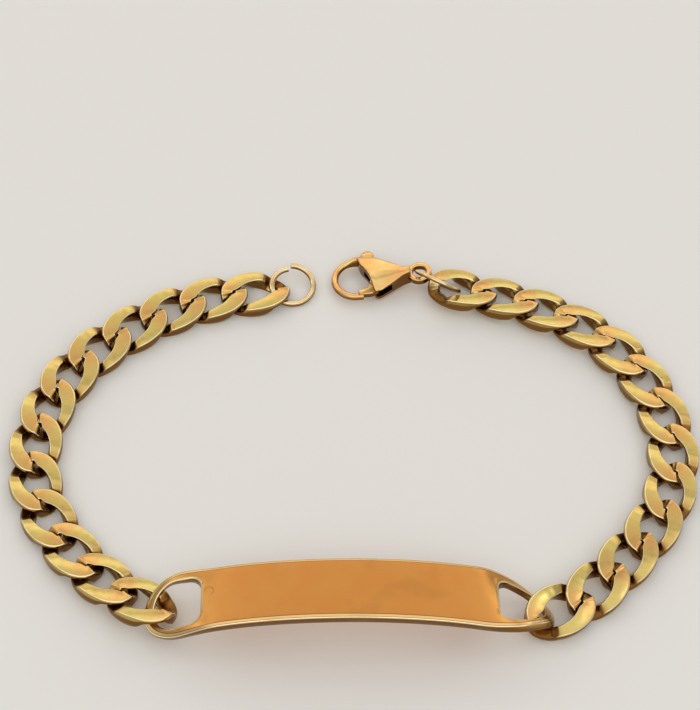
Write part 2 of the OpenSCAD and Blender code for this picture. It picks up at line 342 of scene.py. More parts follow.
def turned(angle_degrees, axis):
    return Matrix.Rotation(math.radians(angle_degrees), 4, axis)


def moved_to_frame(x, y, z):
    """The move from a piece's own origin to its place in the frame."""
    return Matrix.Translation(Vector((x - FRAME_MIDDLE[0], y - FRAME_MIDDLE[1], z)) * MM)


def mesh_object(name, points, faces, transform=Matrix.Identity(4)):
    """A smooth-shaded mesh from points in millimetres, placed in the frame by a transform."""
    mesh = bpy.data.meshes.new(name)
    mesh.from_pydata([tuple(np.asarray(p, float) * MM) for p in points], [], faces)
    mesh.transform(transform)
    mesh.validate()
    shaped = bmesh.new()
    shaped.from_mesh(mesh)
    bmesh.ops.recalc_face_normals(shaped, faces=shaped.faces)
    shaped.to_mesh(mesh)
    shaped.free()
    mesh.shade_smooth()
    piece = bpy.data.objects.new(name, mesh)
    bpy.context.scene.collection.objects.link(piece)
    return piece


def tube_faces(rings, corners, closed=True):
    """Quads that join ring after ring of points, back to the first if closed."""
    faces = []
    for i in range(rings if closed else rings - 1):
        here, there = i * corners, (i + 1) % rings * corners
        for k in range(corners):
            after = (k + 1) % corners
            faces.append((here + k, here + after, there + after, there + k))
    return faces


def rounded_loop(corners, radii, steps=ROUND_STEPS):
    """A closed outline with each corner cut back by its radius and rounded in steps."""
    outline = []
    count = len(corners)
    for i, corner in enumerate(corners):
        corner = np.array(corner, float)
        before = np.array(corners[i - 1], float) - corner
        after = np.array(corners[(i + 1) % count], float) - corner
        start = corner + before / np.linalg.norm(before) * radii[i]
        end = corner + after / np.linalg.norm(after) * radii[i]
        for t in np.linspace(0, 1, steps + 1):
            outline.append((1 - t) ** 2 * start + 2 * t * (1 - t) * corner + t ** 2 * end)
    return outline


def node_pose(node):
    """Where a CAD node lies: its middle and principal axes, longest first."""
    mesh = frame["nodes"][node].data
    points = np.array([v.co for v in mesh.vertices], float)
    points = np.unique(np.round(points, 8), axis=0)
    middle = points.mean(axis=0)
    _, axes = np.linalg.eigh(np.cov((points - middle).T))
    along, across = axes[:, 2], axes[:, 1]
    upward = np.cross(along, across)
    if upward[2] < 0:
        across, upward = -across, -upward
    pose = Matrix.Identity(4)
    for column, vector in enumerate((along, across, upward, middle)):
        for row in range(3):
            pose[row][column] = vector[row]
    return pose


def section_value(angle, column):
    """The table's value at an angle, on a smooth curve through its rows."""
    angles = np.array([row[SECTION_ANGLE] for row in LINK_SECTIONS], float)
    values = np.array([row[column] for row in LINK_SECTIONS], float)
    angles = np.concatenate([angles - 180, angles, angles + 180])
    values = np.tile(values, 3)
    slopes = np.gradient(values, angles)
    at = angle % 180
    i = int(np.searchsorted(angles, at, side="right")) - 1
    width = angles[i + 1] - angles[i]
    t = (at - angles[i]) / width
    rise = (values[i + 1] - values[i]) * (3 * t * t - 2 * t ** 3)
    bend = width * ((t - 2 * t * t + t ** 3) * slopes[i] + (t ** 3 - t * t) * slopes[i + 1])
    return values[i] + rise + bend * (1 if column == SECTION_WIDTH else HEIGHT_SWING)


def link_section(angle):
    """Points round the link's metal at one station: flat faces, bulging sides."""
    half = LINK_THICKNESS / 2
    top = section_value(angle, SECTION_TOP) * half
    bottom = -section_value(180 - angle, SECTION_TOP) * half
    top_width = section_value(angle, SECTION_WIDTH)
    bottom_width = section_value(180 - angle, SECTION_WIDTH)
    turn = math.radians(angle)
    rim = np.array([math.cos(turn) * LINK_LENGTH / 2, math.sin(turn) * LINK_WIDTH / 2])
    outward = np.array([math.cos(turn) / LINK_LENGTH, math.sin(turn) / LINK_WIDTH])
    inward = -outward / np.linalg.norm(outward)
    corners = [(LINK_SIDE_BEVEL, top)]
    corners += side_points(LINK_SIDE_BEVEL, LINK_SIDE_BEVEL, -LINK_SIDE_BEVEL, top, bottom)
    corners += [(LINK_SIDE_BEVEL, bottom), (bottom_width, bottom)]
    corners += side_points(bottom_width, top_width, LINK_INNER_BULGE, bottom, top)
    corners += [(top_width, top)]
    radii = [LINK_EDGE_ROUND if z in (top, bottom) else LINK_WALL_ROUND for _, z in corners]
    outline = rounded_loop(corners, radii)
    return [(*(rim + inward * depth), z) for depth, z in outline]


def side_points(start, end, bulge, from_z, to_z):
    """Two points on a side wall, which bulges in the middle of its height."""
    points = []
    for share in LINK_WALL_SHARES:
        depth = start + (end - start) * share + bulge * 4 * share * (1 - share)
        points.append((depth, from_z + (to_z - from_z) * share))
    return points


def make_links(material):
    stations = [link_section(360 * i / LINK_STATIONS) for i in range(LINK_STATIONS)]
    corners = len(stations[0])
    points = [p for station in stations for p in station]
    faces = tube_faces(LINK_STATIONS, corners)
    shaded_hollows, painted_edge_lights, reflection_yellows = shaded_hollow_marks(stations), painted_edge_light_marks(stations), reflection_yellow_marks(stations)
    for name in CHAIN_LINKS:
        link = mesh_object("polished_" + name, points, faces, node_pose(name))
        even_shading(link)
        # Painted shade at the link's ends, where they slope down under its neighbours
        mark(link, SHADED_HOLLOW, shaded_hollows)
        # Painted highlights on the link's rounded edges and tip facets
        mark(link, PAINTED_EDGE_LIGHT, painted_edge_lights)
        # Painted yellower reflection colour along the link's long sides
        mark(link, REFLECTION_YELLOW, reflection_yellows)
        finish(link, material, "bracelet", name)


def mark(piece, name, values):
    piece.data.attributes.new(name, "FLOAT", "POINT").data.foreach_set("value", values)


def reflection_yellow_marks(stations):
    """Painted yellower reflection colour: 1 at the middle of each long side of a link, fading out
    towards its tips.
    """
    marks = []
    for i, station in enumerate(stations):
        away = abs(360 * i / LINK_STATIONS % 180 - REFLECTION_YELLOW_MIDDLE) / REFLECTION_YELLOW_REACH
        marks += [1 - ease(away)] * len(station)
    return marks


def painted_edge_light_marks(stations):
    """Painted highlights: 1 on the rounded edges of a link's flat faces, fading out in its hollows,
    and on the inner side of the small facet where a tip starts to slope down."""
    shaded_hollows = shaded_hollow_marks(stations)
    corners = len(stations[0])
    marks = [0.0] * len(shaded_hollows)
    for i in range(len(stations)):
        angle = 360 * i / LINK_STATIONS % 180
        for group in FLAT_CORNERS:
            slope_angle = angle if group == INNER_TOP_CORNER else 180 - angle
            inner = group in (INNER_TOP_CORNER, INNER_UNDER_CORNER)
            on_facet = inner and TIP_FACET[0] < slope_angle < TIP_FACET[1]
            first = i * corners + group * (ROUND_STEPS + 1)
            for k in range(first, first + ROUND_STEPS + 1):
                if on_facet:
                    marks[k] = 1.0
                elif first < k < first + ROUND_STEPS:
                    marks[k] = 1 - shaded_hollows[k]
    return marks


def shaded_hollow_marks(stations):
    """1 at the ends of a link, which slope down under its neighbours and get painted shade there, 0 on
    its faces.
    """
    marks = []
    for i, station in enumerate(stations):
        angle = 360 * i / LINK_STATIONS
        low_top = within_one((HOLLOW_HEIGHT - section_value(angle, SECTION_TOP)) * HOLLOW_FADE)
        low_bottom = within_one((HOLLOW_HEIGHT - section_value(180 - angle, SECTION_TOP)) * HOLLOW_FADE)
        middle = sum(point[2] for point in station) / len(station)
        marks += [low_top if point[2] > middle else low_bottom for point in station]
    return marks


def finish(piece, material, body, node):
    """Gives a piece its gold and body, and hides the CAD node that it stands for."""
    piece.data.materials.append(material)
    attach(piece, body)
    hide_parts(node)


def within_one(share):
    return min(max(share, 0), 1)


def ease(share):
    """A share from 0 to 1 that starts and ends gently."""
    share = within_one(share)
    return share * share * (3 - 2 * share)


def bent(x, y, depth):
    """A point of the flat plate, after its arch, its drooping tips and its twist."""
    share = ease((abs(x) - TWIST_START) / (TWIST_END - TWIST_START))
    turn = math.radians(LEFT_TWIST if x < 0 else RIGHT_TWIST) * share
    depth *= 1 - SLOT_THINNING * share
    drop = PLATE_ARCH_RADIUS - math.sqrt(PLATE_ARCH_RADIUS ** 2 - x ** 2)
    drop += END_DROOP * (x / DROOP_REACH) ** DROOP_POWER
    return (
        x,
        y * math.cos(turn) + depth * math.sin(turn),
        y * math.sin(turn) - depth * math.cos(turn) - drop,
    )


def plate_pose():
    place = moved_to_frame(*PLATE_PLACE, PLATE_TOP_HEIGHT)
    return place @ turned(PLATE_HEADING, "Z") @ turned(PLATE_LEAN, "Y")


def arc(centre, radii, start, end, steps):
    """Points along part of an ellipse, between two angles in degrees."""
    angles = np.radians(np.linspace(start, end, steps + 1))
    return [(centre[0] + radii[0] * math.cos(a), centre[1] + radii[1] * math.sin(a)) for a in angles]


def end_outline(inset):
    """The right end's outer edge from far to near, moved inward by inset."""
    half = PLATE_WIDTH / 2 - inset
    middle = PLATE_LENGTH / 2 - PLATE_END_LENGTH
    corner = arc((SLOT_START + SLOT_CORNER, 0), (SLOT_CORNER, 0), 180, 90, SLOT_CORNER_STEPS)
    far = [(x, half) for x, _ in corner]
    straight = [(x, half) for x in np.linspace(SLOT_START + SLOT_CORNER, middle, STRAIGHT_POINTS)[1:]]
    round_end = arc((middle, 0), (PLATE_END_LENGTH - inset, half), 90, -90, ROUND_END_STEPS)
    near = [(x, -y) for x, y in reversed(far + straight)]
    return far + straight + round_end[1:-1] + near


def slot_outline(outset):
    """The right slot's edge, with points that match end_outline, moved outward."""
    half = PLATE_WIDTH / 2 - SLOT_RIM
    middle = PLATE_LENGTH / 2 - SLOT_RIM - SLOT_END_LENGTH
    corner_middle = (SLOT_START + SLOT_CORNER, half - SLOT_CORNER)
    corner_radius = SLOT_CORNER + outset
    corner = arc(corner_middle, (corner_radius, corner_radius), 180, 90, SLOT_CORNER_STEPS)
    along = np.linspace(SLOT_START + SLOT_CORNER, middle, STRAIGHT_POINTS)[1:]
    straight = [(x, half + outset) for x in along]
    round_end = arc((middle, 0), (SLOT_END_LENGTH + outset, half + outset), 90, -90, ROUND_END_STEPS)
    near = [(x, -y) for x, y in reversed(corner + straight)]
    return corner + straight + round_end[1:-1] + near


def row_depth(depth):
    """A row's depth under the upper face; 0 and less counts up from the underside."""
    return depth if depth > 0 else PLATE_THICKNESS + depth


def between(first, last):
    """Evenly spaced rows of points between two rows that match."""
    first, last = np.array(first, float), np.array(last, float)
    return [first + (last - first) * k / RIM_SPANS for k in range(1, RIM_SPANS)]


def add_row(skin, flat_points, depth, edge, side=1):
    """Adds a row of the flat plate's points, bent to shape. Returns their numbers."""
    first = len(skin["points"])
    skin["points"] += [bent(side * x, y, depth) for x, y in flat_points]
    skin["marks"] += [edge] * len(flat_points)
    return list(range(first, len(skin["points"])))


def join_rows(skin, row, next_row):
    for k in range(len(row) - 1):
        skin["faces"].append((row[k], row[k + 1], next_row[k + 1], next_row[k]))


def plate_end(skin, side, spans):
    """Adds one end of the plate round its slot. Returns the loop of points where
    it meets the plate's middle part, in the order of middle_section."""
    upper_gap = between(end_outline(OUTER_ROWS[-1][0]), slot_outline(SLOT_ROWS[0][0]))
    under_gap = between(slot_outline(SLOT_ROWS[-1][0]), end_outline(OUTER_ROWS[0][0]))
    over = []
    for inset, depth, edge in OUTER_ROWS:
        over.append(add_row(skin, end_outline(inset), row_depth(depth), edge, side))
    for row in upper_gap:
        over.append(add_row(skin, row, row_depth(OUTER_ROWS[-1][1]), 0.0, side))
    inner, slot_side = [], []
    for outset, depth, edge in SLOT_ROWS:
        inner.append(add_row(skin, slot_outline(outset), row_depth(depth), edge, side))
        middle = [(SLOT_START - outset, y) for y in spans[1:-1]]
        middle_row = add_row(skin, middle, row_depth(depth), edge, side)
        slot_side.append([inner[-1][-1]] + middle_row + [inner[-1][0]])
    under = [add_row(skin, row, PLATE_THICKNESS, 0.0, side) for row in under_gap]
    rows = over + inner + under
    for row, next_row in zip(rows, rows[1:] + rows[:1]):
        join_rows(skin, row, next_row)
    for row, next_row in zip(slot_side, slot_side[1:]):
        join_rows(skin, row, next_row)
    far, near = [row[0] for row in over], [row[-1] for row in reversed(over)]
    under_near, under_far = [row[-1] for row in reversed(under)], [row[0] for row in under]
    return far + slot_side[0][::-1] + near + under_near + slot_side[-1] + under_far


def middle_section(spans):
    """Points round the plate between its slots: place across, depth, edge mark for painted highlights
    and painted dark reflection lines.
    """
    half = PLATE_WIDTH / 2
    far = [(half - inset, row_depth(depth), edge) for inset, depth, edge in OUTER_ROWS]
    far += [(row[0], far[-1][1], 0.0) for row in between([far[-1][0]], [spans[-1]])]
    near = [(-y, depth, edge) for y, depth, edge in reversed(far)]
    upper = [(-y, far[-1][1], 0.0) for y in spans]
    lower = [(y, PLATE_THICKNESS, 0.0) for y in spans]
    under_far = [(row[0], PLATE_THICKNESS, 0.0) for row in between([spans[-1]], [far[0][0]])]
    under_near = [(-y, depth, edge) for y, depth, edge in reversed(under_far)]
    return far + upper + near + under_near + lower + under_far


def make_plate(material):
    skin = {"points": [], "faces": [], "marks": []}
    slot_y = PLATE_WIDTH / 2 - SLOT_RIM - SLOT_CORNER
    spans = np.linspace(-slot_y, slot_y, PLATE_SPANS + 1)
    left_loop, right_loop = plate_end(skin, -1, spans), plate_end(skin, 1, spans)
    section = middle_section(spans)
    loops = [left_loop]
    for x in np.linspace(-SLOT_START, SLOT_START, PLATE_STATIONS + 1)[1:-1]:
        loops.append([add_row(skin, [(x, y)], depth, edge)[0] for y, depth, edge in section])
    loops.append(right_loop)
    for loop, next_loop in zip(loops, loops[1:]):
        join_rows(skin, loop + loop[:1], next_loop + next_loop[:1])
    plate = mesh_object("polished_plate", skin["points"], skin["faces"], plate_pose())
    # Painted highlights and painted dark reflection lines along the plate's edges
    mark(plate, PAINTED_EDGE_LIGHT, skin["marks"])
    # The plate's ends get a painted yellower reflection colour
    reflection_yellow_run = PLATE_LENGTH / 2 - REFLECTION_YELLOW_START
    mark(plate, REFLECTION_YELLOW, [ease((abs(x) - REFLECTION_YELLOW_START) / reflection_yellow_run) for x, _, _ in skin["points"]])
    even_shading(plate)
    finish(plate, material, "bracelet", "id_plate")


def even_shading(piece):
    """Large faces keep their own shading, and the thin rounded edges take the turn."""
    weighted = piece.modifiers.new("even shading", "WEIGHTED_NORMAL")
    weighted.mode = "FACE_AREA"
    weighted.keep_sharp = True


def wire_along(path, wire, ends_closed, height=None):
    """Rings of points round a path of (middle, outward) pairs, and their faces.
    The wire is round, or at each middle as high as a height function tells."""
    rings = []
    for middle, outward in path:
        high = height(middle) if height else wire
        middle, outward = np.array(middle, float), np.array(outward, float)
        for k in range(WIRE_CORNERS):
            turn = 2 * math.pi * k / WIRE_CORNERS
            rise = np.array((0, 0, math.sin(turn) * high / 2))
            rings.append(middle + outward * math.cos(turn) * wire / 2 + rise)
    faces = tube_faces(len(path), WIRE_CORNERS, closed=not ends_closed)
    if ends_closed:
        faces += end_faces(len(rings), WIRE_CORNERS)
    return rings, faces


def end_faces(count, corners):
    """The two faces that close a tube of count points: its first and last rings."""
    return [tuple(range(corners)), tuple(reversed(range(count - corners, count)))]


def circle_path(radius, start, end, centre=(0, 0)):
    """Middles and outward directions along part of a circle, for wire_along."""
    count = round(abs(end - start) / WIRE_STEP)
    path = []
    for turn in np.radians(np.linspace(start, end, count + 1)):
        outward = (math.cos(turn), math.sin(turn), 0)
        path.append(((centre[0] + radius * outward[0], centre[1] + radius * outward[1], 0), outward))
    return path


def make_connector(material):
    radius = (CONNECTOR_WIDTH - CONNECTOR_WIRE) / 2
    points, faces = wire_along(circle_path(radius, 0, 360)[:-1], CONNECTOR_WIRE, False)
    ring = mesh_object("polished_connector_ring", points, faces, node_pose("connector_ring"))
    finish(ring, material, "bracelet", "connector_ring")


def make_jump_ring(material):
    radius = (JUMP_RING_WIDTH - JUMP_WIRE) / 2
    half_gap = JUMP_JOINT_GAP / 2
    left = circle_path(radius, JUMP_JOINT + half_gap, 270)
    right = circle_path(radius + JUMP_SPREAD, 270, 360 + JUMP_JOINT - half_gap, (0, JUMP_SPREAD))
    points, faces = wire_along(left + right[1:], JUMP_WIRE, True)
    pose = moved_to_frame(*JUMP_PLACE) @ turned(JUMP_TILT[1], "Y") @ turned(JUMP_TILT[0], "X")
    ring = mesh_object("polished_jump_ring", points, faces, pose)
    ring.data.set_sharp_from_angle(angle=math.radians(SMALL_EDGE_ANGLE))
    finish(ring, material, "bracelet", "jump_ring")


def clasp_pose():
    """The clasp's own frame: X to its tail and Z along the lever's pin."""
    hinge = frame["joints"][0]
    up = -Vector(hinge["axis"]).normalized()
    side = Vector((-math.sin(math.radians(CLASP_HEADING)), math.cos(math.radians(CLASP_HEADING)), 0))
    along = side.cross(up).normalized()
    side = up.cross(along)
    start = Vector(hinge["pos_m"]) - (along * PIN_PLACE[0] + side * PIN_PLACE[1]) * MM
    pose = Matrix.Identity(4)
    for column, vector in enumerate((along, side, up, start)):
        for row in range(3):
            pose[row][column] = vector[row]
    return pose


def body_top(x, y):
    """Height of the clasp's upper face: flat, with a slope down to the near edge."""
    start, end = np.array(CREASE_START), np.array(CREASE_END)
    along = (end - start) / np.linalg.norm(end - start)
    past = (x - start[0]) * along[1] - (y - start[1]) * along[0]
    return CLASP_THICKNESS / 2 - CREASE_SLOPE * max(past, 0)


def cushion(outline, spine, levels, height):
    """A closed pillow: the outline shrinks towards its spine as it rises."""
    rows = []
    start, end = np.array(spine[0], float), np.array(spine[1], float)
    run = end - start
    for share, rise in levels:
        row = []
        for corner in outline:
            corner = np.array(corner, float)
            near = start + run * within_one(np.dot(corner - start, run) / np.dot(run, run))
            x, y = corner + (near - corner) * share
            row.append((x, y, height(x, y) * rise))
        rows.append(row)
    points = []
    for row, (_, rise) in zip(reversed(rows), reversed(levels)):
        points += [(x, y, -CLASP_THICKNESS / 2 * rise) for x, y, _ in row]
    points += [point for row in rows for point in row]
    corners = len(outline)
    faces = tube_faces(2 * len(levels), corners, closed=False) + end_faces(len(points), corners)
    return points, faces


def make_clasp_body(material):
    pose = clasp_pose()
    outline = rounded_loop(CLASP_CORNERS, CLASP_CORNER_RADII, CLASP_CORNER_STEPS)
    points, faces = cushion(outline, CLASP_SPINE, CLASP_ROWS, body_top)
    body = mesh_object("polished_clasp_body", points, faces, pose)
    slot = [(x, y * SLOT_CUT / 2) for x, y in zip(SLOT_ALONG + SLOT_ALONG[::-1], (-1, -1, 1, 1))]
    cut_away(body, slot, LEVER_SLOT, pose)
    join_parts(body, [hook_mesh(pose), tail_mesh(pose), pin_mesh(pose)])
    body.data.set_sharp_from_angle(angle=math.radians(BODY_EDGE_ANGLE))
    even_shading(body)
    # Painted shade inside the slot for the lever
    mark(body, SHADED_HOLLOW, slot_shade_marks(body, pose, SLOT_ALONG[0]))
    finish(body, material, "bracelet", "clasp_body")


def slot_shade_marks(piece, pose, from_x):
    """1 inside the body's slot, where painted shade goes, from a place along the clasp onwards."""
    marks = []
    back = pose.inverted()
    reach = LEVER_SLOT * SLOT_DEPTH_SHARE
    for vertex in piece.data.vertices:
        x, y, z = (back @ vertex.co) / MM
        inside = from_x <= x <= SLOT_ALONG[1] and abs(z) <= reach and y < THUMB_FOOT
        marks.append(1.0 if inside else 0.0)
    return marks


def cut_away(piece, outline, height, pose):
    """Cuts a straight-sided hole of the outline's shape out of a piece."""
    count = len(outline)
    corners = [(x, y, z) for z in (-height / 2, height / 2) for x, y in outline]
    ends = [tuple(reversed(range(count))), tuple(range(count, 2 * count))]
    cutter = mesh_object("cutter", corners, tube_faces(2, count, closed=False) + ends, pose)
    cut = piece.modifiers.new("cut", "BOOLEAN")
    cut.operation = "DIFFERENCE"
    cut.solver = "EXACT"
    cut.object = cutter
    apply_modifiers(piece)
    bpy.data.objects.remove(cutter)


def apply_modifiers(piece):
    """The mesh takes the shape that its modifiers give it, and they go."""
    view = bpy.context.evaluated_depsgraph_get()
    shaped = bpy.data.meshes.new_from_object(piece.evaluated_get(view))
    piece.modifiers.clear()
    piece.data = shaped


def join_parts(piece, parts):
    """Makes the parts' meshes one with the piece's, and removes the parts."""
    merged = bmesh.new()
    merged.from_mesh(piece.data)
    for part in parts:
        merged.from_mesh(part.data)
        bpy.data.objects.remove(part)
    merged.to_mesh(piece.data)
    merged.free()
    piece.data.shade_smooth()


def hook_mesh(pose):
    """The hook's wire, taller at its root, with the gate's seat cut in its tip."""
    path = circle_path(HOOK_RADIUS, HOOK_START, HOOK_END)
    middle, outward = path[-1]
    path += [((middle[0] + HOOK_TIP * share, *middle[1:]), outward) for share in HOOK_TIP_SHARES]
    points, faces = wire_along(path, HOOK_WIRE, True, hook_height)
    hook = mesh_object("hook", points, faces, pose)
    cut_away(hook, HOOK_SEAT, 2 * HOOK_WIRE, pose)
    return hook


def hook_height(middle):
    """The wire's height: it tapers from the body along the hook's far half."""
    root, end = HOOK_BAND_X
    share = (middle[0] - end) / (root - end) if middle[1] > 0 else 0
    return max(HOOK_WIRE, HOOK_WIRE / 2 + (HOOK_ROOT_HEIGHT - HOOK_WIRE / 2) * share)


def tail_mesh(pose):
    """The flat ring at the clasp's tail, with rounded edges."""
    middle = (TAIL_HOLE + TAIL_RADIUS) / 2
    half = (TAIL_RADIUS - TAIL_HOLE) / 2
    high = TAIL_THICKNESS / 2
    corners = [(-half, -high), (half, -high), (half, high), (-half, high)]
    section = rounded_loop(corners, [TAIL_EDGE_ROUND] * len(corners))
    points = []
    for outward in (o for _, o in circle_path(middle, 0, 360)[:-1]):
        for across, z in section:
            reach = middle + across
            points.append((TAIL_X + reach * outward[0], reach * outward[1], z))
    return mesh_object("tail", points, tube_faces(len(points) // len(section), len(section)), pose)


def circle_outline(centre, radius, steps):
    """A closed circle of steps + 1 points."""
    return arc(centre, (radius, radius), 0, 360 * steps / (steps + 1), steps)


def pin_outline(radius):
    return circle_outline(PIN_PLACE, radius, PIN_STEPS)


def pin_mesh(pose):
    half = LEVER_SLOT * PIN_REACH
    return slab("pin", pin_outline(PIN_RADIUS), [(0, -half), (0, half)], pose)


def slab(name, outline, levels, pose):
    """A flat piece with rounded edges: its outline is drawn in at each level."""
    middle = np.mean(np.array(outline, float), axis=0)
    points = []
    for inset, z in levels:
        for corner in outline:
            away = np.array(corner, float) - middle
            points.append((*(np.array(corner) - away / np.linalg.norm(away) * inset), z))
    count = len(outline)
    faces = tube_faces(len(levels), count, closed=False) + end_faces(len(points), count)
    return mesh_object(name, points, faces, pose)


def both_faces(lower_levels):
    """Levels under a flat piece's middle, and the same over it."""
    return lower_levels + [(inset, -z) for inset, z in reversed(lower_levels)]


def arm_mesh(levels, pose):
    """The lever's arm, from its pin to the thumb piece."""
    run = np.array(THUMB_PLACE) - np.array(PIN_PLACE)
    across = np.array((-run[1], run[0])) / np.linalg.norm(run) * LEVER_ARM / 2
    corners = [PIN_PLACE + across, PIN_PLACE - across, THUMB_PLACE - across, THUMB_PLACE + across]
    return slab("arm", corners, levels, pose)


def thumb_mesh(pose):
    """The thumb piece: a thick disc with a straight foot along the body."""
    foot = math.degrees(math.asin((THUMB_FOOT - THUMB_PLACE[1]) / THUMB_RADIUS))
    outline = arc(THUMB_PLACE, (THUMB_RADIUS, THUMB_RADIUS), foot, 180 - foot, LEVER_CIRCLE_STEPS)
    levels = both_faces([(inset, -THUMB_THICKNESS / 2 * share) for inset, share in THUMB_EDGE])
    return slab("thumb", outline, levels, pose)


def make_lever(material):
    pose = clasp_pose()
    levels = both_faces([(inset, depth - LEVER_THICKNESS / 2) for inset, depth in LEVER_EDGE])
    gate = slab("polished_clasp_lever", rounded_loop(GATE_CORNERS, GATE_RADII), levels, pose)
    hub = slab("hub", circle_outline(PIN_PLACE, LEVER_HUB, LEVER_CIRCLE_STEPS), levels, pose)
    arm = arm_mesh(levels, pose)
    pin_hole = pin_outline(PIN_RADIUS + PIN_CLEARANCE)
    for part in (gate, arm, hub):
        cut_away(part, pin_hole, 2 * LEVER_THICKNESS, pose)
    join_parts(gate, [arm, hub, thumb_mesh(pose)])
    gate.data.set_sharp_from_angle(angle=math.radians(SMALL_EDGE_ANGLE))
    # Painted shade where the lever lies inside the body's slot
    mark(gate, SHADED_HOLLOW, slot_shade_marks(gate, pose, LEVER_COVERED_X))
    finish(gate, material, "lever", "clasp_lever")


def new_node(tree, kind, inputs=None, **settings):
    """A shader node; each input is a value or the output that is linked to it."""
    made = tree.nodes.new(kind)
    for name, value in settings.items():
        setattr(made, name, value)
    for name, value in (inputs or {}).items():
        if isinstance(value, bpy.types.NodeSocket):
            tree.links.new(value, made.inputs[name])
        else:
            made.inputs[name].default_value = value
    return made


def object_place(tree, stretch=(1, 1, 1)):
    """The surface point in millimetres, stretched so that grain can run one way."""
    place = new_node(tree, "ShaderNodeTexCoord").outputs["Object"]
    scale = tuple(s / MM for s in stretch)
    return new_node(tree, "ShaderNodeMapping", {"Vector": place, "Scale": scale}).outputs["Vector"]


def noise(tree, place, scale, detail=3):
    inputs = {"Vector": place, "Scale": scale, "Detail": detail}
    return new_node(tree, "ShaderNodeTexNoise", inputs).outputs["Fac"]


def ramp(tree, value, low, high, to_low, to_high):
    """A value's range from low to high, turned into another range."""
    spread = {"Value": value, "From Min": low, "From Max": high, "To Min": to_low, "To Max": to_high}
    return new_node(tree, "ShaderNodeMapRange", spread).outputs["Result"]


def mixed(tree, share, first, second):
    """A colour mix by a node's share; each colour is fixed or a node's output."""
    made = tree.nodes.new("ShaderNodeMix")
    made.data_type = "RGBA"
    tree.links.new(share, next(i for i in made.inputs if i.name == "Factor" and i.type == "VALUE"))
    for name, colour in (("A", first), ("B", second)):
        target = next(i for i in made.inputs if i.name == name and i.type == "RGBA")
        if isinstance(colour, bpy.types.NodeSocket):
            tree.links.new(colour, target)
        else:
            target.default_value = (*colour, 1)
    return next(o for o in made.outputs if o.type == "RGBA")


def maths(tree, operation, *values):
    inputs = dict(enumerate(values))
    return new_node(tree, "ShaderNodeMath", inputs, operation=operation).outputs[0]


def vector_math(tree, operation, *values, output="Vector"):
    inputs = dict(enumerate(values))
    return new_node(tree, "ShaderNodeVectorMath", inputs, operation=operation).outputs[output]


def surface_mark(tree, name):
    """The value of one of the marks that the meshes carry."""
    return new_node(tree, "ShaderNodeAttribute", attribute_name=name).outputs["Fac"]


def painted_shade_share(tree):
    """Share of painted shade: 1 on upright side walls and in hollows, 0 on faces that lie flat."""
    normal = new_node(tree, "ShaderNodeTexCoord").outputs["Normal"]
    upward = new_node(tree, "ShaderNodeSeparateXYZ", {"Vector": normal}).outputs["Z"]
    side = ramp(tree, maths(tree, "ABSOLUTE", upward), *SHADED_SIDE_SLOPES, 1, 0)
    return maths(tree, "MAXIMUM", side, surface_mark(tree, SHADED_HOLLOW))


def wear_share(tree):
    """Faint smudges all over, and a small scratch that is part of a circle."""
    place = object_place(tree)
    smudge = ramp(tree, noise(tree, place, SMUDGE_SCALE, detail=2), *SMUDGE_RANGE, 0, SMUDGE_DEPTH)
    away = vector_math(tree, "MULTIPLY", vector_math(tree, "SUBTRACT", place, SCRATCH_MIDDLE), (1, 1, 0))
    off = maths(tree, "SUBTRACT", vector_math(tree, "LENGTH", away, output="Value"), SCRATCH_RADIUS)
    line = ramp(tree, maths(tree, "ABSOLUTE", off), 0, SCRATCH_WIDTH, SCRATCH_DEPTH, 0)
    inside = vector_math(tree, "DOT_PRODUCT", away, SCRATCH_OPENS, output="Value")
    kept = ramp(tree, inside, SCRATCH_CUT, SCRATCH_CUT + SCRATCH_WIDTH, 1, 0)
    return maths(tree, "MAXIMUM", smudge, maths(tree, "MULTIPLY", line, kept))


